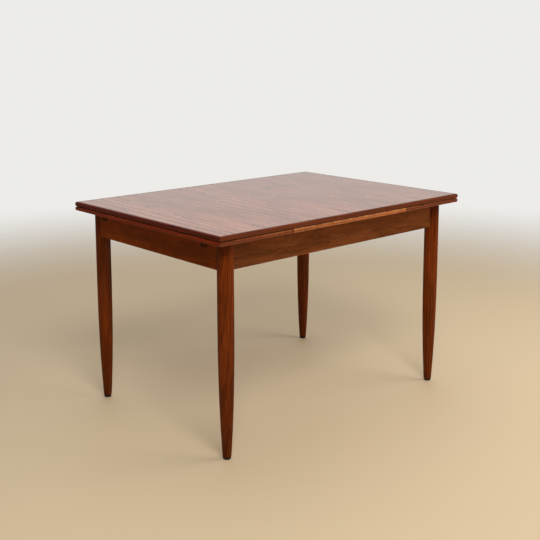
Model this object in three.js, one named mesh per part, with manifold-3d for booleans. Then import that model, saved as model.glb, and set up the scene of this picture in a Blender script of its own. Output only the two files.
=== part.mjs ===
// Draw-leaf dining table: a loose main top over two pull-out leaves and a fixed centre board,
// carried by four aprons and four round tapered legs. Millimetres, +Z up, X along the length,
// origin on the floor under the middle of the table.
import * as THREE from 'three';
import { mergeVertices } from 'three/addons/utils/BufferGeometryUtils.js';
import Module from 'manifold-3d';

const wasm = await Module();
wasm.setup();

// Overall sizes with the leaves pushed in
const TABLE_LENGTH = 1180;
const TABLE_WIDTH = 840;
const TABLE_HEIGHT = 750;

// Boards
const TOP_THICKNESS = 17;
const LEAF_THICKNESS = 15;
const LAYER_GAP = 0.5; // air between the main top and the layer under it
const LEAF_LENGTH = 304.7; // along X, each leaf
const LEAF_JOINT = 0.6; // open joint between a leaf and the centre board
const LIPPING_WIDTH = 10; // solid wood edge round each veneered board
const EDGE_RADIUS = 5.5; // rounding of the outer edges
const EDGE_STEPS = 6;

// Gaps between pieces
const GLUE_GAP = 0.1; // flat glued faces
const CUT_GAP = 0.3; // a face cut to the curve of a leg
const SLIDE_GAP = 0.4; // a bearer against the faces that guide it

// Legs
const LEG_RADIUS = 27;
const LEG_FOOT_RADIUS = 14.3;
const LEG_TAPER_TOP = 480; // height where the swelling ends and the leg runs straight
const LEG_TAPER_POWER = 2.5;
const LEG_TAPER_STEPS = 16;
const LEG_SIDES = 48;
const LEG_INSET_X = 73.5; // leg axis in from the end of the top
const LEG_INSET_Y = 65; // leg axis in from the long side of the top
const GLIDE_RADIUS = 13;
const GLIDE_HEIGHT = 7;
const GLIDE_ROUNDING = 1.2;

// Aprons and the rails between them
const APRON_HEIGHT = 93;
const APRON_THICKNESS = 22;
const LONG_APRON_OUT = 11; // outer face of a long apron, outward from the leg axis
const END_APRON_OUT = 21; // outer face of an end apron, outward from the leg axis
const RAIL_THICKNESS = 22;
const RAIL_HEIGHT = 80;
const RAIL_INSET = 4; // in from the end of the centre board
const BLOCK_LENGTH = 84; // corner block, along each apron
const BLOCK_HEIGHT = 44;
const BLOCK_LIFT = 6; // above the bottom of the aprons

// Bearers: tapered bars under each leaf that make it climb as it is drawn
const DRAW_CLEARANCE = 1.8; // leaf's inner edge past the end of the top when fully drawn
const BEARER_WIDTH = 30;
const BEARER_PITCH = 34; // between one leaf's bearer and its neighbour from the other leaf
const BEARER_LEG_GAP = 5; // between the outermost bearer and the leg beside it
const BEARER_END_HEIGHT = 29;
const BEARER_PROUD = 3; // end past the outer face of the end apron
const BEARER_HOLD = 68; // left under the centre board when the leaf is fully drawn
const NOTCH_SIDE_GAP = 1;
const PEG_RADIUS = 5;
const PEG_BELOW = 14; // stop peg under the bearer
const PEG_DEPTH = 20; // stop peg inside the bearer
const PEG_SIDES = 24;

// Guides that keep the loose main top in line
const GUIDE_X = 150;
const GUIDE_THICKNESS = 20;
const GUIDE_WIDTH = 60;
const GUIDE_SIDE_GAP = 0.8;
const KEEPER_LENGTH = 60;
const KEEPER_WIDTH = 100;
const KEEPER_THICKNESS = 8;
const KEEPER_SLACK = 2; // left under the centre board when the top is fully raised

// Levels and places worked out from the sizes above
const TOP_UNDER = TABLE_HEIGHT - TOP_THICKNESS;
const LEAF_TOP = TOP_UNDER - LAYER_GAP;
const LEAF_UNDER = LEAF_TOP - LEAF_THICKNESS;
const FRAME_TOP = LEAF_UNDER - LAYER_GAP;
const APRON_BOTTOM = FRAME_TOP - APRON_HEIGHT;
const HALF_LENGTH = TABLE_LENGTH / 2;
const HALF_WIDTH = TABLE_WIDTH / 2;
const LEG_X = HALF_LENGTH - LEG_INSET_X;
const LEG_Y = HALF_WIDTH - LEG_INSET_Y;
const END_APRON_X = LEG_X + END_APRON_OUT; // outer face
const LONG_APRON_Y = LEG_Y + LONG_APRON_OUT; // outer face
const LONG_APRON_INNER = LONG_APRON_Y - APRON_THICKNESS;
const END_APRON_INNER = END_APRON_X - APRON_THICKNESS;
const BOARD_X = HALF_LENGTH - LEAF_LENGTH - LEAF_JOINT; // end of the centre board
const RAIL_X = BOARD_X - RAIL_INSET; // outer face of a cross rail
const TRAVEL = LEAF_LENGTH + DRAW_CLEARANCE; // along X, pushed in to fully drawn
const RISE = TOP_THICKNESS + LAYER_GAP; // leaf's climb over that travel
const SLOPE = RISE / TRAVEL;
const BEARER_OUTER_X = END_APRON_X + BEARER_PROUD;
const BEARER_INNER_X = BOARD_X - TRAVEL - BEARER_HOLD;
const BEARER_OUTERMOST_Y = LEG_Y - LEG_RADIUS - BEARER_LEG_GAP - BEARER_WIDTH / 2;
const BEARER_MIDDLE_Y = BEARER_OUTERMOST_Y - BEARER_PITCH / 2; // between two neighbours
const PEG_X = RAIL_X - RAIL_THICKNESS - PEG_RADIUS - CUT_GAP - TRAVEL;
const BEYOND = 5; // cutting shapes run this far past the piece they cut

// Shapes -----------------------------------------------------------------------------------

function solidOf(geometry) {
  const bare = geometry.clone();
  bare.deleteAttribute('normal');
  bare.deleteAttribute('uv');
  const closed = mergeVertices(bare);
  return new wasm.Manifold(new wasm.Mesh({
    numProp: 3,
    vertProperties: new Float32Array(closed.attributes.position.array),
    triVerts: new Uint32Array(closed.index.array),
  }));
}

function geometryOf(solid) {
  const mesh = solid.getMesh();
  const geometry = new THREE.BufferGeometry();
  geometry.setAttribute('position', new THREE.BufferAttribute(mesh.vertProperties, 3));
  geometry.setIndex(new THREE.BufferAttribute(mesh.triVerts, 1));
  geometry.computeVertexNormals();
  return geometry;
}

function shapeOf(points) {
  return new THREE.Shape(points.map(([a, b]) => new THREE.Vector2(a, b)));
}

// A block between two corners
function block([x0, x1], [y0, y1], [z0, z1]) {
  const low = new THREE.Vector3(Math.min(x0, x1), Math.min(y0, y1), Math.min(z0, z1));
  const high = new THREE.Vector3(Math.max(x0, x1), Math.max(y0, y1), Math.max(z0, z1));
  const size = high.clone().sub(low);
  const middle = low.clone().add(high).multiplyScalar(0.5);
  const geometry = new THREE.BoxGeometry(size.x, size.y, size.z);
  geometry.translate(middle.x, middle.y, middle.z);
  return solidOf(geometry);
}

// An outline in X and Y carried up from z0 to z1
function uprightPrism(points, z0, z1) {
  const geometry = new THREE.ExtrudeGeometry(shapeOf(points), { depth: z1 - z0, bevelEnabled: false });
  geometry.translate(0, 0, z0);
  return solidOf(geometry);
}

// An outline in X and Z carried along Y
function prismAlongY(points, y0, y1) {
  const geometry = new THREE.ExtrudeGeometry(shapeOf(points), { depth: y1 - y0, bevelEnabled: false });
  geometry.rotateX(Math.PI / 2);
  geometry.translate(0, y1, 0);
  return solidOf(geometry);
}

// An outline in Y and Z carried along X
function prismAlongX(points, x0, x1) {
  const geometry = new THREE.ExtrudeGeometry(shapeOf(points), { depth: x1 - x0, bevelEnabled: false });
  const turn = new THREE.Matrix4().makeBasis(
    new THREE.Vector3(0, 1, 0),
    new THREE.Vector3(0, 0, 1),
    new THREE.Vector3(1, 0, 0),
  );
  geometry.applyMatrix4(turn);
  geometry.translate(x0, 0, 0);
  return solidOf(geometry);
}

// A turned shape on an upright axis; the profile is [radius, height] pairs, bottom to top
function turned(profile, x, y, sides) {
  const points = profile.map(([radius, height]) => new THREE.Vector2(radius, height));
  const geometry = new THREE.LatheGeometry(points, sides);
  geometry.rotateX(Math.PI / 2);
  geometry.translate(x, y, 0);
  return solidOf(geometry);
}

function rod(radius, x, y, z0, z1, sides) {
  return turned([[0, z0], [radius, z0], [radius, z1], [0, z1]], x, y, sides);
}

// Cross-section of a board whose low and high ends are rounded or square
function boardOutline(low, high, z0, z1, roundLow, roundHigh) {
  const corner = (a, z, startAngle, isRound, inwardA, inwardZ) => {
    if (!isRound) {
      return [[a, z]];
    }
    const points = [];
    for (let i = 0; i <= EDGE_STEPS; i += 1) {
      const angle = startAngle + (Math.PI / 2) * (i / EDGE_STEPS);
      points.push([
        a + inwardA * EDGE_RADIUS + EDGE_RADIUS * Math.cos(angle),
        z + inwardZ * EDGE_RADIUS + EDGE_RADIUS * Math.sin(angle),
      ]);
    }
    return points;
  };
  return [
    ...corner(low, z0, Math.PI, roundLow, 1, 1),
    ...corner(high, z0, 1.5 * Math.PI, roundHigh, -1, 1),
    ...corner(high, z1, 0, roundHigh, -1, -1),
    ...corner(low, z1, 0.5 * Math.PI, roundLow, 1, -1),
  ];
}

// Pieces and materials ---------------------------------------------------------------------

const table = new THREE.Group();
table.name = 'draw_leaf_table';

const LOOKS = {
  veneer: { color: 0x8a5a45, roughness: 0.3, metalness: 0 },
  lipping: { color: 0x6a2c12, roughness: 0.35, metalness: 0 },
  board_edge: { color: 0xae6a3c, roughness: 0.4, metalness: 0 },
  leg: { color: 0x6e2f12, roughness: 0.35, metalness: 0 },
  apron: { color: 0x5c3018, roughness: 0.4, metalness: 0 },
  inner: { color: 0xb58a5c, roughness: 0.7, metalness: 0 },
  bearer: { color: 0x8f5c36, roughness: 0.6, metalness: 0 },
  peg: { color: 0xc8a070, roughness: 0.7, metalness: 0 },
  glide: { color: 0x15120f, roughness: 0.6, metalness: 0 },
};

function addPiece(name, solid, look) {
  const mesh = new THREE.Mesh(geometryOf(solid), new THREE.MeshStandardMaterial(LOOKS[look]));
  mesh.name = name;
  table.add(mesh);
}

// A veneered core with a mitred lipping on each of its four edges
function addLippedBoard(name, [x0, x1], [z0, z1], roundStart, roundEnd) {
  const y0 = -HALF_WIDTH;
  const y1 = HALF_WIDTH;
  const lengthwise = prismAlongY(boardOutline(x0, x1, z0, z1, roundStart, roundEnd), y0, y1);
  const crosswise = prismAlongX(boardOutline(y0, y1, z0, z1, true, true), x0, x1);
  const board = lengthwise.intersect(crosswise);
  const inset = LIPPING_WIDTH + GLUE_GAP;
  const low = z0 - BEYOND;
  const high = z1 + BEYOND;
  const core = block([x0 + inset, x1 - inset], [y0 + inset, y1 - inset], [low, high]);
  addPiece(`${name}_core`, board.intersect(core), 'veneer');

  const lip = LIPPING_WIDTH;
  const ax = x0 - BEYOND;
  const bx = x1 + BEYOND;
  const ay = y0 - BEYOND;
  const by = y1 + BEYOND;
  const left = [[ax, ay], [x0 + lip, y0 + lip], [x0 + lip, y1 - lip], [ax, by]];
  const right = [[bx, ay], [x1 - lip, y0 + lip], [x1 - lip, y1 - lip], [bx, by]];
  // The long pair stops a glue line short of the mitres
  const fromX = x0 + GLUE_GAP;
  const toX = x1 - GLUE_GAP;
  const longSide = (outY, inY) => [
    [fromX - BEYOND, outY],
    [toX + BEYOND, outY],
    [toX - lip, inY],
    [fromX + lip, inY],
  ];
  const front = longSide(ay, y0 + lip);
  const back = longSide(by, y1 - lip);
  addPiece(`${name}_lipping_left`, board.intersect(uprightPrism(left, low, high)), 'lipping');
  addPiece(`${name}_lipping_right`, board.intersect(uprightPrism(right, low, high)), 'lipping');
  addPiece(`${name}_lipping_front`, board.intersect(uprightPrism(front, low, high)), 'lipping');
  addPiece(`${name}_lipping_back`, board.intersect(uprightPrism(back, low, high)), 'lipping');
}

const ENDS = [['left', -1], ['right', 1]];
const SIDES = [['front', -1], ['back', 1]];

// Main top ---------------------------------------------------------------------------------

addLippedBoard('main_top', [-HALF_LENGTH, HALF_LENGTH], [TOP_UNDER, TABLE_HEIGHT], true, true);

const KEEPER_TOP = LEAF_UNDER - RISE - KEEPER_SLACK;
for (const [end, side] of ENDS) {
  const x = side * GUIDE_X;
  const guide = block(
    [x - GUIDE_THICKNESS / 2, x + GUIDE_THICKNESS / 2],
    [-GUIDE_WIDTH / 2, GUIDE_WIDTH / 2],
    [KEEPER_TOP + GLUE_GAP, TOP_UNDER - GLUE_GAP],
  );
  addPiece(`top_guide_${end}`, guide, 'inner');
  const keeper = block(
    [x - KEEPER_LENGTH / 2, x + KEEPER_LENGTH / 2],
    [-KEEPER_WIDTH / 2, KEEPER_WIDTH / 2],
    [KEEPER_TOP - KEEPER_THICKNESS, KEEPER_TOP],
  );
  addPiece(`top_keeper_${end}`, keeper, 'inner');
}

// Centre board, fixed to the frame between the two leaves ------------------------------------

const boardBlank = prismAlongX(
  boardOutline(-HALF_WIDTH, HALF_WIDTH, LEAF_UNDER, LEAF_TOP, true, true),
  -BOARD_X,
  BOARD_X,
);
const stripInner = HALF_WIDTH - LIPPING_WIDTH;
let boardCore = boardBlank.intersect(block(
  [-HALF_LENGTH, HALF_LENGTH],
  [-stripInner + GLUE_GAP, stripInner - GLUE_GAP],
  [LEAF_UNDER - BEYOND, LEAF_TOP + BEYOND],
));
for (const [, side] of ENDS) {
  const halfMortiseX = GUIDE_THICKNESS / 2 + GUIDE_SIDE_GAP;
  const halfMortiseY = GUIDE_WIDTH / 2 + GUIDE_SIDE_GAP;
  boardCore = boardCore.subtract(block(
    [side * GUIDE_X - halfMortiseX, side * GUIDE_X + halfMortiseX],
    [-halfMortiseY, halfMortiseY],
    [LEAF_UNDER - BEYOND, LEAF_TOP + BEYOND],
  ));
}
addPiece('centre_board_core', boardCore, 'inner');
for (const [place, side] of SIDES) {
  const strip = boardBlank.intersect(block(
    [-HALF_LENGTH, HALF_LENGTH],
    [side * stripInner, side * (HALF_WIDTH + BEYOND)],
    [LEAF_UNDER - BEYOND, LEAF_TOP + BEYOND],
  ));
  addPiece(`centre_board_edge_${place}`, strip, 'board_edge');
}

// Leaves with their bearers and stop pegs ----------------------------------------------------

const bearerTop = LEAF_UNDER - GLUE_GAP;
const bearerEndBottom = bearerTop - BEARER_END_HEIGHT;
// Height of the two sloping faces of a bearer at a distance x from the middle of the table
const bearerUpper = (x) => bearerTop - SLOPE * (BOARD_X - SLIDE_GAP - x);
const bearerLower = (x) => bearerEndBottom - SLOPE * (BEARER_OUTER_X - x);
// The left leaf's pair sits a little to the back, the right leaf's pair to the front
const bearerCentres = (side) => SIDES.map(
  ([place, at]) => [place, at * BEARER_MIDDLE_Y - (side * BEARER_PITCH) / 2],
);

for (const [end, side] of ENDS) {
  const outer = side * HALF_LENGTH;
  const inner = side * (HALF_LENGTH - LEAF_LENGTH);
  addLippedBoard(
    `${end}_leaf`,
    [Math.min(outer, inner), Math.max(outer, inner)],
    [LEAF_UNDER, LEAF_TOP],
    side < 0,
    side > 0,
  );
  for (const [place, y] of bearerCentres(side)) {
    const outline = [
      [BEARER_OUTER_X, bearerTop],
      [BOARD_X - SLIDE_GAP, bearerTop],
      [BEARER_INNER_X, bearerUpper(BEARER_INNER_X)],
      [BEARER_INNER_X, bearerLower(BEARER_INNER_X)],
      [BEARER_OUTER_X, bearerEndBottom],
    ].map(([x, z]) => [side * x, z]);
    const bar = prismAlongY(outline, y - BEARER_WIDTH / 2, y + BEARER_WIDTH / 2);
    const pegTop = bearerLower(PEG_X) + PEG_DEPTH;
    const pegBottom = bearerLower(PEG_X) - PEG_BELOW;
    const pegHole = rod(
      PEG_RADIUS + CUT_GAP,
      side * PEG_X,
      y,
      pegBottom,
      pegTop + GLUE_GAP,
      PEG_SIDES,
    );
    addPiece(`${end}_bearer_${place}`, bar.subtract(pegHole), 'bearer');
    const peg = rod(PEG_RADIUS, side * PEG_X, y, pegBottom, pegTop, PEG_SIDES);
    addPiece(`${end}_stop_peg_${place}`, peg, 'peg');
  }
}

// Frame ------------------------------------------------------------------------------------

const legTop = FRAME_TOP;
const legBottom = GLIDE_HEIGHT + GLUE_GAP;

function legProfile() {
  const profile = [[0, legBottom]];
  for (let i = 0; i <= LEG_TAPER_STEPS; i += 1) {
    const z = legBottom + ((LEG_TAPER_TOP - legBottom) * i) / LEG_TAPER_STEPS;
    const share = (LEG_TAPER_TOP - z) / (LEG_TAPER_TOP - legBottom);
    profile.push([LEG_RADIUS - (LEG_RADIUS - LEG_FOOT_RADIUS) * share ** LEG_TAPER_POWER, z]);
  }
  profile.push([LEG_RADIUS, legTop]);
  profile.push([0, legTop]);
  return profile;
}

const glideProfile = [
  [0, 0],
  [GLIDE_RADIUS - GLIDE_ROUNDING, 0],
  [GLIDE_RADIUS, GLIDE_ROUNDING],
  [GLIDE_RADIUS, GLIDE_HEIGHT],
  [0, GLIDE_HEIGHT],
];

const legSpace = (x, y) => rod(
  LEG_RADIUS + CUT_GAP,
  x,
  y,
  APRON_BOTTOM - BEYOND,
  FRAME_TOP + BEYOND,
  LEG_SIDES,
);

for (const [end, sideX] of ENDS) {
  for (const [place, sideY] of SIDES) {
    const x = sideX * LEG_X;
    const y = sideY * LEG_Y;
    addPiece(`leg_${end}_${place}`, turned(legProfile(), x, y, LEG_SIDES), 'leg');
    addPiece(`glide_${end}_${place}`, turned(glideProfile, x, y, LEG_SIDES), 'glide');
    const faceX = sideX * (END_APRON_INNER - GLUE_GAP);
    const faceY = sideY * (LONG_APRON_INNER - GLUE_GAP);
    const wedge = uprightPrism(
      [
        [faceX, faceY],
        [faceX - sideX * BLOCK_LENGTH, faceY],
        [faceX, faceY - sideY * BLOCK_LENGTH],
      ],
      APRON_BOTTOM + BLOCK_LIFT,
      APRON_BOTTOM + BLOCK_LIFT + BLOCK_HEIGHT,
    );
    addPiece(`corner_block_${end}_${place}`, wedge.subtract(legSpace(x, y)), 'inner');
  }
}

for (const [place, side] of SIDES) {
  const apron = block(
    [-LEG_X, LEG_X],
    [side * LONG_APRON_INNER, side * LONG_APRON_Y],
    [APRON_BOTTOM, FRAME_TOP],
  );
  const fitted = apron
    .subtract(legSpace(-LEG_X, side * LEG_Y))
    .subtract(legSpace(LEG_X, side * LEG_Y));
  addPiece(`apron_${place}`, fitted, 'apron');
}

// The way a bearer takes through an end apron or a cross rail, open at the top
function bearerWay(side, y) {
  const floor = (x) => bearerLower(x) - SLIDE_GAP;
  const innerEnd = BEARER_INNER_X - SLIDE_GAP;
  const outerEnd = BEARER_OUTER_X + BEYOND;
  const outline = [
    [innerEnd, floor(innerEnd)],
    [outerEnd, floor(outerEnd)],
    [outerEnd, FRAME_TOP + BEYOND],
    [innerEnd, FRAME_TOP + BEYOND],
  ].map(([x, z]) => [side * x, z]);
  const half = BEARER_WIDTH / 2 + NOTCH_SIDE_GAP;
  return prismAlongY(outline, y - half, y + half);
}

const bearerWays = ENDS.flatMap(
  ([, side]) => bearerCentres(side).map(([, y]) => bearerWay(side, y)),
);

for (const [end, side] of ENDS) {
  let apron = block(
    [side * END_APRON_INNER, side * END_APRON_X],
    [-LEG_Y, LEG_Y],
    [APRON_BOTTOM, FRAME_TOP],
  );
  apron = apron
    .subtract(legSpace(side * LEG_X, -LEG_Y))
    .subtract(legSpace(side * LEG_X, LEG_Y));
  let rail = block(
    [side * (RAIL_X - RAIL_THICKNESS), side * RAIL_X],
    [-LONG_APRON_INNER + GLUE_GAP, LONG_APRON_INNER - GLUE_GAP],
    [FRAME_TOP - RAIL_HEIGHT, LEAF_UNDER - GLUE_GAP],
  );
  for (const way of bearerWays) {
    apron = apron.subtract(way);
    rail = rail.subtract(way);
  }
  addPiece(`apron_${end}`, apron, 'apron');
  addPiece(`cross_rail_${end}`, rail, 'inner');
}

export default table;
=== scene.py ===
import math

import bmesh
import bpy
from mathutils import Matrix, Vector


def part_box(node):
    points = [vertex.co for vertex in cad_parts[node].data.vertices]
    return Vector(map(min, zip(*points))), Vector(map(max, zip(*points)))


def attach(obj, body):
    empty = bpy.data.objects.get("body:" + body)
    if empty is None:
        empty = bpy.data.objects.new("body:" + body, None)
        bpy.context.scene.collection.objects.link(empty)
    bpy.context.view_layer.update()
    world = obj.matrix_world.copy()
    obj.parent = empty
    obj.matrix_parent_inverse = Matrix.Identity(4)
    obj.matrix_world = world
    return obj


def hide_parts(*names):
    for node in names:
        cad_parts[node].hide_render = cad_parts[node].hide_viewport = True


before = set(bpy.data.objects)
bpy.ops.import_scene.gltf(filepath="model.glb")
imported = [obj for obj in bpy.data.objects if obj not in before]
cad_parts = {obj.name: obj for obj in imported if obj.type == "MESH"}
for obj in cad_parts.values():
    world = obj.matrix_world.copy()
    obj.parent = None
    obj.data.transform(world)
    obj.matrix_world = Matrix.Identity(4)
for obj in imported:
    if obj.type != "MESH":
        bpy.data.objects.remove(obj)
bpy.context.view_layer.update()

MM = 0.001
NEAR = 0.01 * MM

# ---------------------------------------------------------------- sizes, in millimetres

LIPPING_ROUNDING = 5.5  # outer arrises of the boards' solid edges
HIDDEN_ROUNDING = 0.5  # arrises of an edge that meets the centre board
LIPPING_INNER = 0.2  # arrises glued to the veneered board
EASED = 0.8  # sandpapered arris on a planed piece
SHARP = 0.3  # arris of a veneered face
APRON_ARRIS = 1.0
RUBBED_ARRIS = 1.2  # arrises that slide or catch fingers
PEG_ARRIS = 0.6
BOARD_ARRIS = 0.4

LEG_SIDES = 96
LEG_RADIUS = 27.0
LEG_FOOT_RADIUS = 14.3
LEG_TAPER_TOP = 480.0  # the leg runs straight above this
LEG_TAPER_POWER = 2.5
LEG_TAPER_STEPS = 18
LEG_ARRIS = 1.5  # rounding of the foot's rim
LEG_TOP_ARRIS = 1.0
GLIDE_SIDES = 64

DIRTY_FOOT = 2.6  # scuffed black this far up
SHIN_HEIGHT = 420.0  # painted shade darkens the leg up to here, most near the foot
SHIN_SHADE = 0.3

# The same in metres: where old polish and dust gather and painted shade darkens the groove, and
# what counts as an arris
GROOVE_LEVEL = 732.75 * MM  # where the top rests on the leaves
GROOVE_OVER = 3.6 * MM  # painted shade and dust reach this far up the top's edge
GROOVE_UNDER = 1.3 * MM  # and this far down the leaf's
JOINT_DARK = 2.6 * MM  # dark line each side of a butt joint
LEG_JOINT_DARK = 0.3 * MM  # dark line on an apron beside the leg
NARROW_FACE = 1.3 * MM  # a face wider than this is no arris

# ---------------------------------------------------------------- camera

CAMERA_AIM = Vector((0.0, 0.0066, 0.782))
CAMERA_AZIMUTH = math.radians(-42.22)
CAMERA_ELEVATION = math.radians(9.11)
CAMERA_ROLL = math.radians(-0.055)
CAMERA_DISTANCE = 3.414
CAMERA_LENS = 60.5
CAMERA_SHIFT = -0.15


def place_camera():
    data = bpy.data.cameras.new("camera")
    data.lens = CAMERA_LENS
    data.sensor_width = 36.0
    data.shift_y = CAMERA_SHIFT
    camera = bpy.data.objects.new("camera", data)
    bpy.context.scene.collection.objects.link(camera)
    back = Vector((
        math.sin(CAMERA_AZIMUTH) * math.cos(CAMERA_ELEVATION),
        -math.cos(CAMERA_AZIMUTH) * math.cos(CAMERA_ELEVATION),
        math.sin(CAMERA_ELEVATION),
    ))
    right = Vector((0.0, 0.0, 1.0)).cross(back).normalized()
    up = back.cross(right)
    turned_right = right * math.cos(CAMERA_ROLL) + up * math.sin(CAMERA_ROLL)
    turned_up = up * math.cos(CAMERA_ROLL) - right * math.sin(CAMERA_ROLL)
    turn = Matrix((turned_right, turned_up, back)).transposed().to_4x4()
    camera.matrix_world = Matrix.Translation(CAMERA_AIM + back * CAMERA_DISTANCE) @ turn
    bpy.context.scene.camera = camera


place_camera()

# ---------------------------------------------------------------- material building


def linear(code):
    """An sRGB hex colour as linear red, green, blue and alpha."""
    values = [int(code[i:i + 2], 16) / 255 for i in (1, 3, 5)]
    return [v / 12.92 if v <= 0.04045 else ((v + 0.055) / 1.055) ** 2.4 for v in values] + [1.0]


def add(tree, kind, inputs=None, **settings):
    """Adds a node with its settings; an input is a value, or a socket to link from."""
    node = tree.nodes.new(kind)
    for name, value in settings.items():
        setattr(node, name, value)
    for name, value in (inputs or {}).items():
        if isinstance(value, bpy.types.NodeSocket):
            tree.links.new(value, node.inputs[name])
        else:
            node.inputs[name].default_value = value
    return node


def new_material(name):
    material = bpy.data.materials.new(name)
    material.use_nodes = True
    tree = material.node_tree
    tree.nodes.clear()
    shader = add(tree, "ShaderNodeBsdfPrincipled")
    output = add(tree, "ShaderNodeOutputMaterial")
    tree.links.new(shader.outputs["BSDF"], output.inputs["Surface"])
    return material, tree, shader


LEAF_DIFFERENCE = 0.1  # how much lighter or darker one leaf of veneer looks than the next

# Turns that bring the grain onto the pattern's X axis
GRAIN_ALONG = {
    "x": (0.0, 0.0, 0.0),
    "y": (0.0, 0.0, math.radians(-90)),
    "z": (0.0, math.radians(90), 0.0),
}


# Pattern sizes in all the wood, as repeats per metre along the grain, across it and into it
SWAY_SCALE = (4.0, 16.0, 16.0)  # slow waviness, about 250 mm long and 60 mm wide
RIPPLE_SCALE = (26.0, 60.0, 60.0)  # small unevenness, about 40 mm long
KNOT_SCALE = (3.1, 5.2, 1.0)  # room for one knot in each 320 by 190 mm
DRIFT_SCALE = (2.2, 11.0, 11.0)  # slow change of tone over a hand's breadth
LINE_FADE_SCALE = (11.0, 0.9, 11.0)  # dark lines come and go every 90 mm
FIBRE_LENGTH_SCALE = 10.0  # fibres about 100 mm long
PORE_SCALE = (50.0, 900.0, 900.0)  # dashes 20 by 1 mm, coarser than real pores so that they show
GLOSS_SCALE = 7.0  # duller and shinier patches, about 140 mm across
RUB_SCALE = 38.0  # patches of rubbed arris, about 26 mm long

KNOT_REACH = 0.22  # share of a knot's room in which the grain turns aside
KNOT_PUSH = 16 * MM  # how far it turns aside
CUT_SLANT = 0.055  # how fast the cut leaves the pith along the grain
RELIEF = 0.3 * MM  # depth of the open pores


def wood(name, grain, early, late, line, figure_mm, flitch_mm=0.0, pith=(0.0, 60.0), lines=0.5,
         line_share=0.14, sway_mm=34.0, ripple_mm=2.0, fibre=0.35, fibre_mm=2.5, pores=0.4,
         knots=0.0, level_mm=0.0, shade=0.12, roughness=(0.4, 0.55), coat=0.0,
         coat_roughness=0.2, bump=0.25, seed=0.0, specular=0.25, worn_and_highlit_colour="#8a5a38"):
    """Cut and finished wood: growth rings met by the cut, fibres, pores and slow colour drift.

    early, late and line are the colours of early wood, late wood and the thin dark ring lines;
    figure_mm is the ring spacing, flitch_mm the width of one leaf of veneer laid mirrored beside
    the next (0 for solid wood), pith how far the pith lies beside and below the face in mm,
    level_mm the height of a veneered face, lines and line_share how dark the lines are and how
    much of the face they take, sway_mm and ripple_mm how far the grain wanders slowly and shivers
    closely, knots the share of places that hold a knot, shade how far the tone drifts,
    worn_and_highlit_colour the colour of rubbed arrises, which is also their painted highlight,
    and seed moves the pattern to another place.
    """
    material, tree, shader = new_material(name)
    place = add(tree, "ShaderNodeTexCoord")
    turn = add(tree, "ShaderNodeMapping", {
        "Vector": place.outputs["Object"],
        "Rotation": GRAIN_ALONG[grain],
        "Location": ((seed, 0.0, -level_mm * MM) if flitch_mm
                     else (seed, seed * 0.37, seed * 0.71)),
    })
    axes = add(tree, "ShaderNodeSeparateXYZ", {"Vector": turn.outputs["Vector"]})
    along, across, deep = axes.outputs["X"], axes.outputs["Y"], axes.outputs["Z"]

    # Leaves of veneer are laid mirrored, so the pattern folds back at each joint
    if flitch_mm:
        fold = add(tree, "ShaderNodeMath", {0: across, 1: flitch_mm * MM}, operation="PINGPONG")
        face = fold.outputs["Value"]
    else:
        face = across

    # Slow waviness of the grain
    slow = add(tree, "ShaderNodeCombineXYZ", {"X": along, "Y": face, "Z": deep})
    stretch = add(tree, "ShaderNodeMapping", {
        "Vector": slow.outputs["Vector"], "Scale": SWAY_SCALE})
    wave = add(tree, "ShaderNodeTexNoise", {
        "Vector": stretch.outputs["Vector"], "Scale": 1.0, "Detail": 2.0, "Roughness": 0.45})
    sway = add(tree, "ShaderNodeMath", {0: wave.outputs["Fac"], 1: -0.5}, operation="ADD")
    bend = add(tree, "ShaderNodeMath", {0: sway.outputs["Value"], 1: sway_mm * MM, 2: face},
               operation="MULTIPLY_ADD")
    # and its small unevenness
    ripple_place = add(tree, "ShaderNodeMapping", {
        "Vector": slow.outputs["Vector"], "Scale": RIPPLE_SCALE})
    ripple = add(tree, "ShaderNodeTexNoise", {
        "Vector": ripple_place.outputs["Vector"], "Scale": 1.0, "Detail": 2.0, "Roughness": 0.5})
    rippled = add(tree, "ShaderNodeMath", {
        0: ripple.outputs["Fac"], 1: ripple_mm * MM, 2: bend.outputs["Value"]},
        operation="MULTIPLY_ADD")
    bent = rippled.outputs["Value"]

    # Small knots: the rings run round them and their hearts are dark
    if knots:
        cells = add(tree, "ShaderNodeMapping", {
            "Vector": turn.outputs["Vector"], "Scale": KNOT_SCALE})
        spot = add(tree, "ShaderNodeTexVoronoi", {
            "Vector": cells.outputs["Vector"], "Scale": 1.0, "Randomness": 0.95},
            voronoi_dimensions="2D")
        chance = add(tree, "ShaderNodeSeparateColor", {"Color": spot.outputs["Color"]})
        chosen = add(tree, "ShaderNodeMath", {0: chance.outputs["Red"], 1: 1.0 - knots},
                     operation="GREATER_THAN")
        reach = add(tree, "ShaderNodeMapRange", {
            "Value": spot.outputs["Distance"], "From Min": 0.0, "From Max": KNOT_REACH,
            "To Min": 1.0, "To Max": 0.0}, interpolation_type="SMOOTHERSTEP")
        swell = add(tree, "ShaderNodeMath", {
            0: reach.outputs["Result"], 1: chosen.outputs["Value"]}, operation="MULTIPLY")
        around = add(tree, "ShaderNodeMath", {0: swell.outputs["Value"], 1: KNOT_PUSH, 2: bent},
                     operation="MULTIPLY_ADD")
        bent = around.outputs["Value"]

    # Distance from the pith: the cut passes it at a slant, which opens the rings into arches
    taper = add(tree, "ShaderNodeMath", {0: along, 1: CUT_SLANT, 2: pith[1] * MM},
                operation="MULTIPLY_ADD")
    below = add(tree, "ShaderNodeMath", {0: taper.outputs["Value"], 1: deep}, operation="ADD")
    off = add(tree, "ShaderNodeMath", {0: bent, 1: pith[0] * MM}, operation="SUBTRACT")
    spoke = add(tree, "ShaderNodeCombineXYZ", {
        "X": off.outputs["Value"], "Y": below.outputs["Value"]})
    radius = add(tree, "ShaderNodeVectorMath", {0: spoke.outputs["Vector"]}, operation="LENGTH")
    rings = add(tree, "ShaderNodeMath", {0: radius.outputs["Value"], 1: 1.0 / (figure_mm * MM)},
                operation="MULTIPLY")

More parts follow.
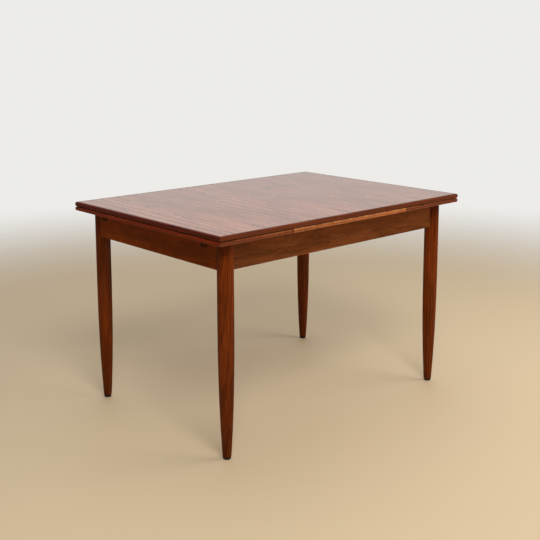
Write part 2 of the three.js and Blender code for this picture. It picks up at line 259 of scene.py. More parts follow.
    # Ring bands of uneven width, and thin dark lines where a ring ends
    band = add(tree, "ShaderNodeTexNoise", {
        "W": rings.outputs["Value"], "Scale": 1.0, "Detail": 3.0, "Roughness": 0.62},
        noise_dimensions="1D")
    band_ramp = add(tree, "ShaderNodeMapRange", {
        "Value": band.outputs["Fac"], "From Min": 0.34, "From Max": 0.68})
    ring_edge = add(tree, "ShaderNodeTexNoise", {
        "W": rings.outputs["Value"], "Scale": 2.3, "Detail": 2.0, "Roughness": 0.5},
        noise_dimensions="1D")
    edge_ramp = add(tree, "ShaderNodeMapRange", {
        "Value": ring_edge.outputs["Fac"], "From Min": 0.68 - line_share * 0.6,
        "From Max": 0.78 - line_share * 0.6})
    # Slow drift of tone
    drift_stretch = add(tree, "ShaderNodeMapping", {
        "Vector": slow.outputs["Vector"], "Scale": DRIFT_SCALE})
    drift = add(tree, "ShaderNodeTexNoise", {
        "Vector": drift_stretch.outputs["Vector"], "Scale": 1.0, "Detail": 3.0, "Roughness": 0.55})
    drift_tone = add(tree, "ShaderNodeMapRange", {
        "Value": drift.outputs["Fac"], "From Min": 0.3, "From Max": 0.7,
        "To Min": 1.0 - shade, "To Max": 1.0 + shade})
    # Each mirrored leaf of veneer takes the light a little differently
    if flitch_mm:
        count = add(tree, "ShaderNodeMath", {0: across, 1: 1.0 / (flitch_mm * MM)},
                    operation="MULTIPLY")
        leaf = add(tree, "ShaderNodeMath", {0: count.outputs["Value"]}, operation="FLOOR")
        leaf_chance = add(tree, "ShaderNodeTexWhiteNoise", {"W": leaf.outputs["Value"]},
                          noise_dimensions="1D")
        leaf_tone = add(tree, "ShaderNodeMapRange", {
            "Value": leaf_chance.outputs["Value"], "To Min": 1.0 - LEAF_DIFFERENCE,
            "To Max": 1.0 + LEAF_DIFFERENCE})
        drift_tone = add(tree, "ShaderNodeMath", {
            0: drift_tone.outputs["Result"], 1: leaf_tone.outputs["Result"]},
            operation="MULTIPLY")
    drift_value = drift_tone.outputs[0]

    # The dark lines come and go along the grain, and crowd together where the wood is darker
    fade_place = add(tree, "ShaderNodeCombineXYZ", {
        "X": along, "Y": rings.outputs["Value"], "Z": deep})
    fade_stretch = add(tree, "ShaderNodeMapping", {
        "Vector": fade_place.outputs["Vector"], "Scale": LINE_FADE_SCALE})
    fade = add(tree, "ShaderNodeTexNoise", {
        "Vector": fade_stretch.outputs["Vector"], "Scale": 1.0, "Detail": 3.0, "Roughness": 0.6})
    fade_ramp = add(tree, "ShaderNodeMapRange", {
        "Value": fade.outputs["Fac"], "From Min": 0.36, "From Max": 0.58,
        "To Min": 0.15 * lines, "To Max": lines})
    crowd = add(tree, "ShaderNodeMapRange", {
        "Value": drift.outputs["Fac"], "From Min": 0.4, "From Max": 0.6,
        "To Min": 1.15, "To Max": 0.35})
    line_strength = add(tree, "ShaderNodeMath", {
        0: fade_ramp.outputs["Result"], 1: crowd.outputs["Result"]}, operation="MULTIPLY")
    edge_share = add(tree, "ShaderNodeMath", {
        0: edge_ramp.outputs["Result"], 1: line_strength.outputs["Value"]}, operation="MULTIPLY")

    # Fibres, drawn coarser than real ones so that they show
    fibre_place = add(tree, "ShaderNodeCombineXYZ", {"X": along, "Y": bent, "Z": deep})
    fibre_stretch = add(tree, "ShaderNodeMapping", {
        "Vector": fibre_place.outputs["Vector"],
        "Scale": (FIBRE_LENGTH_SCALE, 1.0 / (fibre_mm * MM), 1.0 / (fibre_mm * MM))})
    fibres = add(tree, "ShaderNodeTexNoise", {
        "Vector": fibre_stretch.outputs["Vector"], "Scale": 1.0, "Detail": 4.0, "Roughness": 0.65})
    fibre_tone = add(tree, "ShaderNodeMapRange", {
        "Value": fibres.outputs["Fac"], "From Min": 0.3, "From Max": 0.7,
        "To Min": 1.0 - fibre, "To Max": 1.0 + fibre * 0.6})

    # Open pores, as dark dashes
    pore_stretch = add(tree, "ShaderNodeMapping", {
        "Vector": fibre_place.outputs["Vector"], "Scale": PORE_SCALE})
    pore = add(tree, "ShaderNodeTexNoise", {
        "Vector": pore_stretch.outputs["Vector"], "Scale": 1.0, "Detail": 1.0, "Roughness": 0.5})
    pore_mark = add(tree, "ShaderNodeMapRange", {
        "Value": pore.outputs["Fac"], "From Min": 0.6, "From Max": 0.74,
        "To Min": 1.0, "To Max": 1.0 - pores})

    bands = add(tree, "ShaderNodeMix", {
        "Factor": band_ramp.outputs["Result"], 6: linear(early), 7: linear(late)}, data_type="RGBA")
    lined = add(tree, "ShaderNodeMix", {
        "Factor": edge_share.outputs["Value"], 6: bands.outputs[2], 7: linear(line)},
        data_type="RGBA")
    tone = add(tree, "ShaderNodeMath", {
        0: fibre_tone.outputs["Result"], 1: pore_mark.outputs["Result"]}, operation="MULTIPLY")
    tones = add(tree, "ShaderNodeMath", {0: tone.outputs["Value"], 1: drift_value},
                operation="MULTIPLY")
    if knots:
        heart = add(tree, "ShaderNodeMapRange", {
            "Value": spot.outputs["Distance"], "From Min": 0.014, "From Max": 0.045,
            "To Min": 0.85, "To Max": 0.0})
        dark = add(tree, "ShaderNodeMath", {0: heart.outputs["Result"], 1: chosen.outputs["Value"]},
                   operation="MULTIPLY")
        keep = add(tree, "ShaderNodeMath", {0: 1.0, 1: dark.outputs["Value"]}, operation="SUBTRACT")
        tones = add(tree, "ShaderNodeMath", {0: tones.outputs["Value"], 1: keep.outputs["Value"]},
                    operation="MULTIPLY")
    coloured = add(tree, "ShaderNodeVectorMath", {
        0: lined.outputs[2], "Scale": tones.outputs["Value"]}, operation="SCALE")

    # Arrises are rubbed lighter by hands and cloths, in patches; the lighter colour also stands as
    # a painted highlight on the rounded arrises
    edge = add(tree, "ShaderNodeAttribute", attribute_name="wear_and_highlight", attribute_type="GEOMETRY")
    rubbed = add(tree, "ShaderNodeTexNoise", {
        "Vector": place.outputs["Object"], "Scale": RUB_SCALE, "Detail": 3.0, "Roughness": 0.65})
    rub_ramp = add(tree, "ShaderNodeMapRange", {
        "Value": rubbed.outputs["Fac"], "From Min": 0.42, "From Max": 0.66,
        "To Min": 0.1, "To Max": 0.7})
    rub_and_highlight = add(tree, "ShaderNodeMath", {0: edge.outputs["Fac"], 1: rub_ramp.outputs["Result"]},
              operation="MULTIPLY")
    rubbed_and_highlit_wood = add(tree, "ShaderNodeMix", {
        "Factor": rub_and_highlight.outputs["Value"], 6: coloured.outputs["Vector"], 7: linear(worn_and_highlit_colour)},
        data_type="RGBA")
    # Grooves between boards hold old polish and dust, so they are darker; the same darkening also
    # paints shade in the groove under the top and low on the legs
    grime_and_shade = add(tree, "ShaderNodeAttribute", attribute_name="grime_and_shade", attribute_type="GEOMETRY")
    clean_and_lit = add(tree, "ShaderNodeMapRange", {
        "Value": grime_and_shade.outputs["Fac"], "To Min": 1.0, "To Max": 0.15})
    grimed_and_shaded = add(tree, "ShaderNodeVectorMath", {
        0: rubbed_and_highlit_wood.outputs[2], "Scale": clean_and_lit.outputs["Result"]}, operation="SCALE")
    tree.links.new(grimed_and_shaded.outputs["Vector"], shader.inputs["Base Color"])

    # Handled finish: slightly uneven gloss, duller where the pores are open
    worn = add(tree, "ShaderNodeTexNoise", {
        "Vector": place.outputs["Object"], "Scale": GLOSS_SCALE, "Detail": 3.0, "Roughness": 0.6})
    gloss = add(tree, "ShaderNodeMapRange", {
        "Value": worn.outputs["Fac"], "From Min": 0.3, "From Max": 0.7,
        "To Min": roughness[0], "To Max": roughness[1]})
    tree.links.new(gloss.outputs["Result"], shader.inputs["Roughness"])
    relief = add(tree, "ShaderNodeMath", {0: tone.outputs["Value"], 1: 0.5}, operation="MULTIPLY")
    raised = add(tree, "ShaderNodeBump", {
        "Height": relief.outputs["Value"], "Strength": bump, "Distance": RELIEF})
    tree.links.new(raised.outputs["Normal"], shader.inputs["Normal"])
    shader.inputs["IOR"].default_value = 1.5
    shader.inputs["Specular IOR Level"].default_value = specular
    shader.inputs["Coat Weight"].default_value = coat
    shader.inputs["Coat Roughness"].default_value = coat_roughness
    shader.inputs["Coat IOR"].default_value = 1.5
    return material


# Rosewood veneer, rift-sliced and laid mirrored, lacquered half-gloss: close, nearly straight
# dark streaks over a red-brown ground, small knots, and a pale sheen at low angles
TOP_VENEER = wood("lacquered rosewood veneer", "y", "#b87c65", "#975d4c", "#1a0805", 16.0,
                  flitch_mm=196.7, pith=(-60.0, 120.0), level_mm=750.0, lines=1.0,
                  line_share=0.15, sway_mm=18.0, ripple_mm=9.0, fibre=0.56, fibre_mm=3.8,
                  pores=0.7, knots=0.5, shade=0.2, roughness=(0.34, 0.4), coat=0.9,
                  coat_roughness=0.12, bump=0.12, specular=0.0)
LEAF_VENEER = wood("lacquered rosewood leaf veneer", "y", "#b87c65", "#975d4c", "#1a0805", 16.0,
                   flitch_mm=152.0, pith=(-60.0, 120.0), level_mm=732.5, lines=1.0,
                   line_share=0.15, sway_mm=18.0, ripple_mm=9.0, fibre=0.56, fibre_mm=3.8,
                   pores=0.7, knots=0.5, shade=0.2, roughness=(0.34, 0.4), coat=0.9,
                   coat_roughness=0.12, bump=0.12, seed=1.3, specular=0.0)

# Solid stained hardwood, planed and rounded, lacquered: close straight grain, deep red-brown
LIPPING_X = wood("lacquered lipping along the leaves", "x", "#7c3a1a", "#5e2810", "#280e04", 4.0,
                 pith=(40.0, 90.0), sway_mm=6.0, fibre=0.4, pores=0.4, coat=0.5,
                 coat_roughness=0.12, roughness=(0.36, 0.5), bump=0.15, specular=0.0,
                 worn_and_highlit_colour="#a4663c")
LIPPING_Y = wood("lacquered lipping across the leaves", "y", "#8c3206", "#682004", "#2a0a02", 4.0,
                 pith=(40.0, 90.0), sway_mm=6.0, fibre=0.4, pores=0.4, coat=0.3,
                 coat_roughness=0.12, roughness=(0.36, 0.5), bump=0.15, seed=0.8, specular=0.0,
                 worn_and_highlit_colour="#8a4a26")
LIPPING_TOP_X = wood("dark lacquered lipping along the top", "x", "#743618", "#54240c", "#220d04",
                     4.0, pith=(40.0, 90.0), sway_mm=6.0, fibre=0.4, pores=0.4, coat=0.45,
                     coat_roughness=0.12, roughness=(0.36, 0.5), bump=0.15, seed=1.1,
                     specular=0.0, worn_and_highlit_colour="#8e5230")
LIPPING_TOP_Y = wood("dark lacquered lipping across the top", "y", "#6e2404", "#4e1602",
                     "#200702", 4.0, pith=(40.0, 90.0), sway_mm=6.0, fibre=0.4, pores=0.4,
                     coat=0.35, coat_roughness=0.12, roughness=(0.36, 0.5), bump=0.15, seed=1.9,
                     specular=0.0, worn_and_highlit_colour="#7a3c1e")

# The same hardwood, turned on a lathe and lacquered: fine upright streaks, satin shine
# Its strong tone drift and its seed were picked to make the right front leg lighter and the right
# back leg darker: painted light and shade between the legs
LEG_WOOD = wood("lacquered turned hardwood", "z", "#7a3306", "#5c2303", "#280c02", 6.0,
                pith=(50.0, 55.0), lines=0.35, sway_mm=10.0, fibre=0.6, pores=0.5, shade=0.36,
                coat=0.22, coat_roughness=0.18, roughness=(0.34, 0.46), bump=0.15, seed=0.55,
                specular=0.0)

# Veneered aprons, lacquered thinly: lengthwise figure with broad lighter clouds
APRON_X = wood("lacquered long apron", "x", "#7e4522", "#653415", "#3a1a08", 12.0,
               pith=(60.0, -990.0), lines=0.3, sway_mm=30.0, fibre=0.45, pores=0.4, shade=0.42,
               coat=0.14, coat_roughness=0.25, roughness=(0.42, 0.55), bump=0.2, seed=0.45,
               specular=0.0)
APRON_Y = wood("lacquered end apron", "y", "#964508", "#783104", "#3a1302", 12.0,
               pith=(60.0, -812.0), lines=0.3, sway_mm=30.0, fibre=0.45, pores=0.4, shade=0.4,
               coat=0.14, coat_roughness=0.25, roughness=(0.42, 0.55), bump=0.2, seed=0.2,
               specular=0.0)

# Edge of the centre board: the same family of wood left nearly unstained, so more orange
BOARD_EDGE = wood("lightly stained board edge", "x", "#b6683c", "#8e4c26", "#56280e", 4.0,
                  pith=(30.0, 80.0), lines=0.6, sway_mm=6.0, shade=0.3, fibre=0.45, pores=0.3,
                  coat=0.3, coat_roughness=0.2, roughness=(0.4, 0.52), bump=0.15, seed=2.1,
                  specular=0.0, worn_and_highlit_colour="#c88850")

# Beech, planed and left bare: pale, even, with fine short flecks
BARE_X = wood("bare planed beech along the table", "x", "#b98d62", "#a4774d", "#86603c", 6.0,
              pith=(20.0, 120.0), lines=0.3, fibre=0.16, pores=0.2, roughness=(0.55, 0.7),
              bump=0.3, seed=0.9, worn_and_highlit_colour="#cdb08a")
BARE_Y = wood("bare planed beech across the table", "y", "#b98d62", "#a4774d", "#86603c", 6.0,
              pith=(20.0, 120.0), lines=0.3, fibre=0.16, pores=0.2, roughness=(0.55, 0.7),
              bump=0.3, seed=0.3, worn_and_highlit_colour="#cdb08a")
BARE_Z = wood("bare beech dowel", "z", "#c29a6c", "#ad8257", "#8b6743", 4.0, pith=(0.0, 30.0),
              lines=0.3, fibre=0.16, pores=0.2, roughness=(0.55, 0.7), bump=0.3, seed=0.6,
              worn_and_highlit_colour="#cdb08a")

# Bearers: beech stained to match the outside and rubbed with wax, worn where they slide; their
# colour is set darker than the outside's as painted shade under the leaf
BEARER_WOOD = wood("waxed stained beech with painted shade", "x", "#582a10", "#43200c", "#2a1206", 6.0,
                   pith=(20.0, 100.0), lines=0.35, fibre=0.25, pores=0.25,
                   roughness=(0.42, 0.6), coat=0.1, coat_roughness=0.4, bump=0.25, seed=1.7,
                   specular=0.0, worn_and_highlit_colour="#8a5c38")


NYLON_GRAIN_SCALE = 900.0  # moulded grain, about 1 mm
NYLON_GRAIN_DEPTH = 0.1 * MM
SCUFF_SCALE = 140.0  # scuffs about 7 mm across


def nylon(name, colour):
    """Moulded glide: matt black, finely grained, scuffed a little paler by the floor."""
    material, tree, shader = new_material(name)
    place = add(tree, "ShaderNodeTexCoord")
    grain = add(tree, "ShaderNodeTexNoise", {
        "Vector": place.outputs["Object"], "Scale": NYLON_GRAIN_SCALE, "Detail": 2.0})
    scuff = add(tree, "ShaderNodeTexNoise", {
        "Vector": place.outputs["Object"], "Scale": SCUFF_SCALE, "Detail": 4.0,
        "Roughness": 0.7})
    mark = add(tree, "ShaderNodeMapRange", {
        "Value": scuff.outputs["Fac"], "From Min": 0.5, "From Max": 0.75})
    body = add(tree, "ShaderNodeMix", {
        "Factor": mark.outputs["Result"], 6: linear(colour), 7: linear("#3a342e")},
        data_type="RGBA")
    tree.links.new(body.outputs[2], shader.inputs["Base Color"])
    dull = add(tree, "ShaderNodeMapRange", {
        "Value": scuff.outputs["Fac"], "To Min": 0.45, "To Max": 0.7})
    tree.links.new(dull.outputs["Result"], shader.inputs["Roughness"])
    raised = add(tree, "ShaderNodeBump", {
        "Height": grain.outputs["Fac"], "Strength": 0.3, "Distance": NYLON_GRAIN_DEPTH})
    tree.links.new(raised.outputs["Normal"], shader.inputs["Normal"])
    return material


GLIDE_NYLON = nylon("moulded black nylon", "#14110f")

# ---------------------------------------------------------------- modelling by hand


def clear_selection():
    bpy.ops.object.select_all(action="DESELECT")


def take(piece):
    clear_selection()
    piece.select_set(True)
    bpy.context.view_layer.objects.active = piece


def pick_edges(piece, wanted):
    """In edit mode, selects the edges whose middle and direction pass a test."""
    mesh = bmesh.from_edit_mesh(piece.data)
    bpy.ops.mesh.select_mode(type="EDGE")
    bpy.ops.mesh.select_all(action="DESELECT")
    for edge in mesh.edges:
        a, b = (corner.co for corner in edge.verts)
        if wanted((a + b) / 2, (b - a).normalized()):
            edge.select_set(True)
    mesh.select_flush_mode()
    bmesh.update_edit_mesh(piece.data)


def settle(piece):
    """Puts a piece's place, turn and size into its mesh."""
    take(piece)
    bpy.ops.object.transform_apply(location=True, rotation=True, scale=True)


def smooth(piece, angle):
    """Rounded arrises shade round while the broad faces beside them stay flat."""
    take(piece)
    bpy.ops.object.shade_smooth_by_angle(angle=math.radians(angle))
    flat = piece.modifiers.new("flat faces", "WEIGHTED_NORMAL")
    flat.keep_sharp = True
    bpy.ops.object.modifier_apply(modifier=flat.name)


def mark_wear_and_highlight(piece):
    """Notes on each corner whether it lies on an arris, clear of every broad face; there the wood
    is rubbed lighter and given a painted highlight.
    """
    worn = piece.data.attributes.new("wear_and_highlight", "FLOAT", "POINT")
    corners = piece.data.vertices
    broad = set()
    for face in piece.data.polygons:
        round_it = sum((corners[a].co - corners[b].co).length for a, b in face.edge_keys)
        if 2 * face.area / round_it > NARROW_FACE:
            broad.update(face.vertices)
    for corner, note in enumerate(worn.data):
        note.value = 0.0 if corner in broad else 1.0


def finish_piece(piece, material, body, node, worn=True):
    """Gives a piece its finish and puts it in its place in the moving model."""
    piece.data.materials.clear()
    piece.data.materials.append(material)
    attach(piece, body)
    # Rubbed arrises, lighter from wear and from a painted highlight
    if worn:
        mark_wear_and_highlight(piece)
    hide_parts(node)


def plank(name, low, high):
    clear_selection()
    middle = (low + high) / 2
    bpy.ops.mesh.primitive_cube_add(size=1, location=middle, scale=high - low)
    piece = bpy.context.object
    piece.name = name
    settle(piece)
    return piece


def cut_off(piece, point, outward):
    """Saws a piece through a point and drops what lies beyond."""
    take(piece)
    bpy.ops.object.mode_set(mode="EDIT")
    bpy.ops.mesh.select_all(action="SELECT")
    bpy.ops.mesh.bisect(plane_co=point, plane_no=outward, clear_outer=True, use_fill=True)
    bpy.ops.object.mode_set(mode="OBJECT")


def score(piece, axis, level):
    """Adds a line of edges round a piece without changing its shape."""
    point, across = Vector((0, 0, 0)), Vector((0, 0, 0))
    point[axis], across[axis] = level, 1
    take(piece)
    bpy.ops.object.mode_set(mode="EDIT")
    bpy.ops.mesh.select_all(action="SELECT")
    bpy.ops.mesh.bisect(plane_co=point, plane_no=across)
    bpy.ops.object.mode_set(mode="OBJECT")


def bevel(piece, wanted, width_mm, steps):
    take(piece)
    bpy.ops.object.mode_set(mode="EDIT")
    pick_edges(piece, wanted)
    bpy.ops.mesh.bevel(offset=width_mm * MM, segments=steps, affect="EDGES")
    bpy.ops.object.mode_set(mode="OBJECT")


def mark_grime_and_shade(piece, depth):
    """Notes how deep each corner lies in a groove or joint, from 0 to 1; the value darkens the wood
    as dirt, dark joint lines and painted shade.
    """
    dirty_and_shaded = piece.data.attributes.new("grime_and_shade", "FLOAT", "POINT")
    for corner in piece.data.vertices:
        dirty_and_shaded.data[corner.index].value = max(0.0, min(1.0, depth(corner.co)))


ROUNDING_STEPS = 8
ROUNDED = 4 * MM  # edges nearer the outer face than this belong to its rounding
LENGTHWISE = 0.9  # an edge's share of travel along a strip, above which it runs along it
FULLY_DARK = 0.6  # share of a joint's dark line before it fades


def groove_shade_and_dirt(at):
    """How deep a point lies in the groove between the top and the leaves, darkened there by painted
    shade and dust.
    """
    above = at.z - GROOVE_LEVEL
    return 1.0 - (above / GROOVE_OVER if above > 0 else -above / GROOVE_UNDER)


def lipping(name, node, axis, side, material, body, mitred=(True, True),
            butted=(False, False), rounding=LIPPING_ROUNDING):
    """A solid edge strip: outer arrises rounded, ends mitred, darker where butted to another."""
    low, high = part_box(node)
    piece = plank(name, low, high)
    outer = high[axis] if side > 0 else low[axis]
    other = 1 - axis
    bevel(piece, lambda at, way: abs(at[axis] - outer) < NEAR and abs(way[other]) > LENGTHWISE,
          rounding, ROUNDING_STEPS)
    for end, is_mitred in zip((-1, 1), mitred):
        if is_mitred:
            corner = Vector((0, 0, 0))
            corner[axis] = outer
            corner[other] = high[other] if end > 0 else low[other]
            away = Vector((0, 0, 0))
            away[axis] = -side
            away[other] = end
            cut_off(piece, corner, away)
    bevel(piece, lambda at, way: abs(at[axis] - outer) > ROUNDED and abs(way[other]) > LENGTHWISE,
          LIPPING_INNER, 1)
    joints = []
    for end, is_butted in zip((low[other], high[other]), butted):
        if is_butted:
            joints.append(end)
            inward = 1 if end == low[other] else -1
            for reach in (JOINT_DARK, JOINT_DARK * FULLY_DARK):
                score(piece, other, end + inward * reach)
    smooth(piece, 40)
    fading = JOINT_DARK * (1.0 - FULLY_DARK)
    # Painted shade, with dust, darkens the groove under the top's edge; butt joints get a dark line
    mark_grime_and_shade(piece, lambda at: max([groove_shade_and_dirt(at)] + [
        (JOINT_DARK - abs(at[other] - end)) / fading for end in joints]))
    finish_piece(piece, material, body, node)


def veneered_core(name, node, material, body):
    """A board with crisp arrises and both faces veneered."""
    low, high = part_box(node)
    piece = plank(name, low, high)
    bevel(piece, lambda at, way: True, SHARP, 2)
    smooth(piece, 35)
    finish_piece(piece, material, body, node)


def planed_copy(name, node, material, body, width=EASED, steps=2):
    """The frame's own piece with its arrises sanded off."""
    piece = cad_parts[node].copy()
    piece.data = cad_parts[node].data.copy()
    bpy.context.scene.collection.objects.link(piece)
    piece.name = name
    piece.parent = None
    for key in list(piece.keys()):
        del piece[key]
    take(piece)
    bpy.ops.object.mode_set(mode="EDIT")
    bpy.ops.mesh.select_all(action="SELECT")
    bpy.ops.mesh.remove_doubles(threshold=NEAR)
    bpy.ops.mesh.dissolve_limited(angle_limit=math.radians(0.5))
    bpy.ops.mesh.select_mode(type="EDGE")
    bpy.ops.mesh.select_all(action="DESELECT")
    bpy.ops.mesh.edges_select_sharp(sharpness=math.radians(25))
    bpy.ops.mesh.bevel(offset=width * MM, segments=steps, affect="EDGES", clamp_overlap=True)
    bpy.ops.object.mode_set(mode="OBJECT")
    smooth(piece, 30)
    finish_piece(piece, material, body, node)
    return piece


def turned(name, profile, x, y, sides):
    """A lathe-turned piece: a disc drawn up step by step to each radius and height."""
    clear_selection()
    radius, height = profile[0]
    bpy.ops.mesh.primitive_circle_add(vertices=sides, radius=radius * MM, fill_type="NGON",
                                      location=(x, y, height * MM))
    piece = bpy.context.object
    piece.name = name
    settle(piece)
    bpy.ops.object.mode_set(mode="EDIT")
    bpy.ops.mesh.select_all(action="SELECT")
    for next_radius, next_height in profile[1:]:
        step = (next_height - height) * MM
        bpy.ops.mesh.extrude_region_move(TRANSFORM_OT_translate={"value": (0, 0, step)})
        share = next_radius / radius
        bpy.ops.transform.resize(value=(share, share, 1), center_override=(x, y, next_height * MM))
        radius, height = next_radius, next_height
    bpy.ops.mesh.select_all(action="SELECT")
    bpy.ops.mesh.remove_doubles(threshold=NEAR)
    bpy.ops.mesh.normals_make_consistent(inside=False)
    bpy.ops.object.mode_set(mode="OBJECT")
    smooth(piece, 30)
    return piece


def copy_to(piece, name, shift):
    """A copy with its own mesh, moved by a shift."""
    twin = piece.copy()
    twin.data = piece.data.copy()
    twin.name = name
    bpy.context.scene.collection.objects.link(twin)
    twin.location = shift
    settle(twin)
    return twin


# ---------------------------------------------------------------- boards

# Each board's veneer, its side and end lippings, and which ends meet the centre board's strips.
# A board's name is also its body's.
LIPPED = {
    "main_top": (TOP_VENEER, LIPPING_TOP_X, LIPPING_TOP_Y, (False, False)),
    "left_leaf": (LEAF_VENEER, LIPPING_X, LIPPING_Y, (False, True)),
    "right_leaf": (LEAF_VENEER, LIPPING_X, LIPPING_Y, (True, False)),
}
for board, (veneer, side_wood, end_wood, butted) in LIPPED.items():
    veneered_core(f"{board}_veneered_board", f"{board}_core", veneer, board)
    for place, axis, side in (("left", 0, -1), ("right", 0, 1), ("front", 1, -1), ("back", 1, 1)):
        hidden_edge = (board, place) in (("left_leaf", "right"), ("right_leaf", "left"))
        lipping(f"{board}_{place}_lipping", f"{board}_lipping_{place}", axis, side,
                end_wood if axis == 0 else side_wood, board,
                butted=butted if axis == 1 else (False, False),
                rounding=HIDDEN_ROUNDING if hidden_edge else LIPPING_ROUNDING)

planed_copy("centre_board", "centre_board_core", BARE_Y, "frame", BOARD_ARRIS)
for place, side in (("front", -1), ("back", 1)):
    lipping(f"centre_board_{place}_strip", f"centre_board_edge_{place}", 1, side, BOARD_EDGE,
            "frame", mitred=(False, False), butted=(True, True))

# ---------------------------------------------------------------- legs and glides


def leg_profile(foot, top):
    """Radius and height from the foot up: a rounded rim, a cigar-shaped taper, then straight."""
    points = [(LEG_FOOT_RADIUS - LEG_ARRIS, foot),
              (LEG_FOOT_RADIUS - 0.3 * LEG_ARRIS, foot + 0.2 * LEG_ARRIS)]
    for i in range(LEG_TAPER_STEPS + 1):
        rise = i / LEG_TAPER_STEPS
        height = foot + LEG_ARRIS + (LEG_TAPER_TOP - foot - LEG_ARRIS) * rise
        share = (LEG_TAPER_TOP - height) / (LEG_TAPER_TOP - foot)
        taper = (LEG_RADIUS - LEG_FOOT_RADIUS) * share ** LEG_TAPER_POWER
        points.append((LEG_RADIUS - taper, height))
        if i == 0:  # two more rings, between which the scuffed black ends
            points += [(LEG_FOOT_RADIUS + 0.12, foot + DIRTY_FOOT),
                       (LEG_FOOT_RADIUS + 0.2, foot + DIRTY_FOOT + 1.0)]
    points += [(LEG_RADIUS, top - LEG_TOP_ARRIS), (LEG_RADIUS - LEG_TOP_ARRIS, top)]
    return points


def glide_profile(radius, height):
    """Radius and height from the hollow in the sole, round the rim and up to the leg."""
    return [(radius - 3.2, 0.4), (radius - 3.0, 0.0), (radius - 1.2, 0.0), (radius - 0.35, 0.35),
            (radius, 1.2), (radius, height - 0.8), (radius - 0.6, height)]


def foot_black_and_shade(at):
    """Black at the very foot, then painted shade that fades slowly up to the shin."""
    above = at.z / MM - glide_height
    return 1.0 if above < DIRTY_FOOT + 0.1 else SHIN_SHADE * (1.0 - above / SHIN_HEIGHT)


def centre_of(node):
    low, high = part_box(node)
    return (low + high) / 2


FIRST = "left_front"
CORNERS = ("left_front", "left_back", "right_front", "right_back")
leg_low, leg_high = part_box(f"leg_{FIRST}")
glide_low, glide_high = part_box(f"glide_{FIRST}")
start = centre_of(f"leg_{FIRST}")
glide_radius = (glide_high.x - glide_low.x) / 2 / MM
glide_height = glide_high.z / MM
leg = turned(f"leg_{FIRST}_turned", leg_profile(leg_low.z / MM, leg_high.z / MM),
             start.x, start.y, LEG_SIDES)
glide = turned(f"glide_{FIRST}_moulded", glide_profile(glide_radius, glide_height),
               start.x, start.y, GLIDE_SIDES)
# Scuffed black at the foot, then painted shade, darker towards the bottom of the leg
mark_grime_and_shade(leg, foot_black_and_shade)
for corner in CORNERS:
    if corner != FIRST:
        shift = centre_of(f"leg_{corner}") - start
        finish_piece(copy_to(leg, f"leg_{corner}_turned", shift), LEG_WOOD, "frame",
                     f"leg_{corner}", worn=False)
        finish_piece(copy_to(glide, f"glide_{corner}_moulded", shift), GLIDE_NYLON, "frame",
                     f"glide_{corner}", worn=False)
finish_piece(leg, LEG_WOOD, "frame", f"leg_{FIRST}", worn=False)
finish_piece(glide, GLIDE_NYLON, "frame", f"glide_{FIRST}", worn=False)

# ---------------------------------------------------------------- aprons, rails and blocks

LEG_AXES = [centre_of(f"leg_{corner}") for corner in CORNERS]


def leg_joint(at):
    """How close a point is to the nearest leg's face."""
    gap = min((Vector((at.x - axis.x, at.y - axis.y)).length for axis in LEG_AXES))
    return 1.0 - (gap - LEG_RADIUS * MM - LEG_JOINT_DARK) / LEG_JOINT_DARK


APRON_WOOD = {"front": APRON_X, "back": APRON_X, "left": APRON_Y, "right": APRON_Y}
for place, material in APRON_WOOD.items():
    apron = planed_copy(f"{place}_apron", f"apron_{place}", material, "frame",
                        APRON_ARRIS, 3)
    mark_grime_and_shade(apron, leg_joint)
for end in ("left", "right"):
    planed_copy(f"{end}_cross_rail", f"cross_rail_{end}", BARE_Y, "frame")
for corner in CORNERS:
    planed_copy(f"{corner}_corner_block", f"corner_block_{corner}", BARE_X, "frame")

# ---------------------------------------------------------------- moving parts underneath

for end in ("left", "right"):
    planed_copy(f"{end}_guide_block", f"top_guide_{end}", BARE_Y, "main_top")
    planed_copy(f"{end}_keeper", f"top_keeper_{end}", BARE_Y, "main_top",
                RUBBED_ARRIS)
    for place in ("front", "back"):
        planed_copy(f"{end}_{place}_bearer", f"{end}_bearer_{place}", BEARER_WOOD, f"{end}_leaf",
                    RUBBED_ARRIS)
        planed_copy(f"{end}_{place}_stop_peg", f"{end}_stop_peg_{place}", BARE_Z, f"{end}_leaf",
                    PEG_ARRIS, 1)

# ---------------------------------------------------------------- floor and light

FLOOR_FADE = 1.8  # metres from the middle, where the floor starts to fade
FLOOR_END = 4.5
BRIGHT_WALL = (0.67, 0.74, 0.1)  # the way to the brightest part of the room
FRONT_ROOM = 0.26  # brightness of the room away from it
BACK_ROOM = 0.95  # and toward it
SEEN_ROOM = 0.95  # and as a plain backdrop
LIGHT_AIM = Vector((0, 0, 0.5))


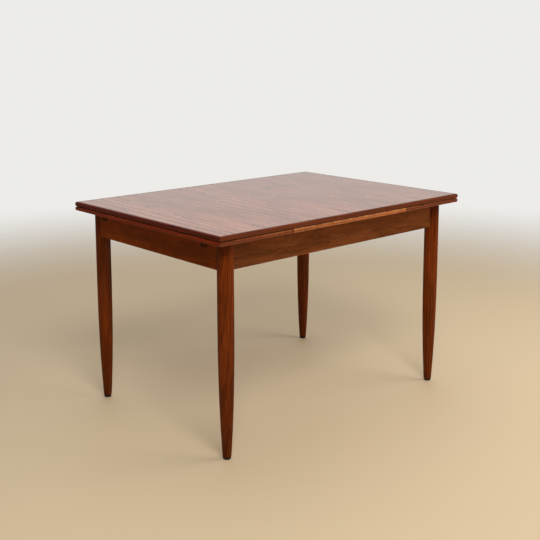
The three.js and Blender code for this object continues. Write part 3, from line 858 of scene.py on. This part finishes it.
def plain_floor():
    """A pale floor that fades into the pale room a few steps away."""
    clear_selection()
    bpy.ops.mesh.primitive_circle_add(vertices=96, radius=FLOOR_END, fill_type="NGON",
                                      location=(0, 0, 0))
    floor = bpy.context.object
    floor.name = "floor"
    material, tree, shader = new_material("plain pale floor")
    shader.inputs["Base Color"].default_value = linear("#d6bf9c")
    shader.inputs["Roughness"].default_value = 0.6
    place = add(tree, "ShaderNodeTexCoord")
    away = add(tree, "ShaderNodeVectorMath", {0: place.outputs["Object"]}, operation="LENGTH")
    shown = add(tree, "ShaderNodeMapRange", {
        "Value": away.outputs["Value"], "From Min": FLOOR_FADE, "From Max": FLOOR_END,
        "To Min": 1.0, "To Max": 0.0}, interpolation_type="SMOOTHSTEP")
    tree.links.new(shown.outputs["Result"], shader.inputs["Alpha"])
    floor.data.materials.append(material)


def softbox(name, place, width, height, watts, colour):
    """A large soft light turned to the table, kept out of the polished top's reflections."""
    data = bpy.data.lights.new(name, "AREA")
    data.shape = "RECTANGLE"
    data.size = width
    data.size_y = height
    data.energy = watts
    data.color = linear(colour)[:3]
    light = bpy.data.objects.new(name, data)
    light.location = place
    light.rotation_mode = "QUATERNION"
    light.rotation_quaternion = (LIGHT_AIM - Vector(place)).to_track_quat("-Z", "Y")
    light.visible_glossy = False
    bpy.context.scene.collection.objects.link(light)


def soft_room():
    """A pale room: one wall lights the table more than the rest of the room does."""
    world = bpy.data.worlds.new("pale room")
    bpy.context.scene.world = world
    world.use_nodes = True
    tree = world.node_tree
    background = tree.nodes["Background"]
    way = add(tree, "ShaderNodeTexCoord")
    toward = add(tree, "ShaderNodeVectorMath", {
        0: way.outputs["Generated"], 1: BRIGHT_WALL}, operation="DOT_PRODUCT")
    bright = add(tree, "ShaderNodeMapRange", {
        "Value": toward.outputs["Value"], "From Min": 0.2, "From Max": 0.85,
        "To Min": FRONT_ROOM, "To Max": BACK_ROOM}, interpolation_type="SMOOTHSTEP")
    seen = add(tree, "ShaderNodeLightPath")
    strength = add(tree, "ShaderNodeMix", {
        "Factor": seen.outputs["Is Camera Ray"], 2: bright.outputs["Result"], 3: SEEN_ROOM})
    background.inputs["Color"].default_value = linear("#f2f1ee")
    tree.links.new(strength.outputs[0], background.inputs["Strength"])


plain_floor()
soft_room()
bpy.context.scene.view_settings.view_transform = "Standard"
softbox("window", (2.3, -2.3, 1.8), 2.2, 1.8, 55, "#fffaf2")
softbox("fill", (-1.76, -2.88, 3.54), 2.0, 1.6, 112, "#ffffff")
softbox("ceiling", (0.3, 0.6, 4.2), 3.0, 3.0, 20, "#ffffff")

clear_selection()
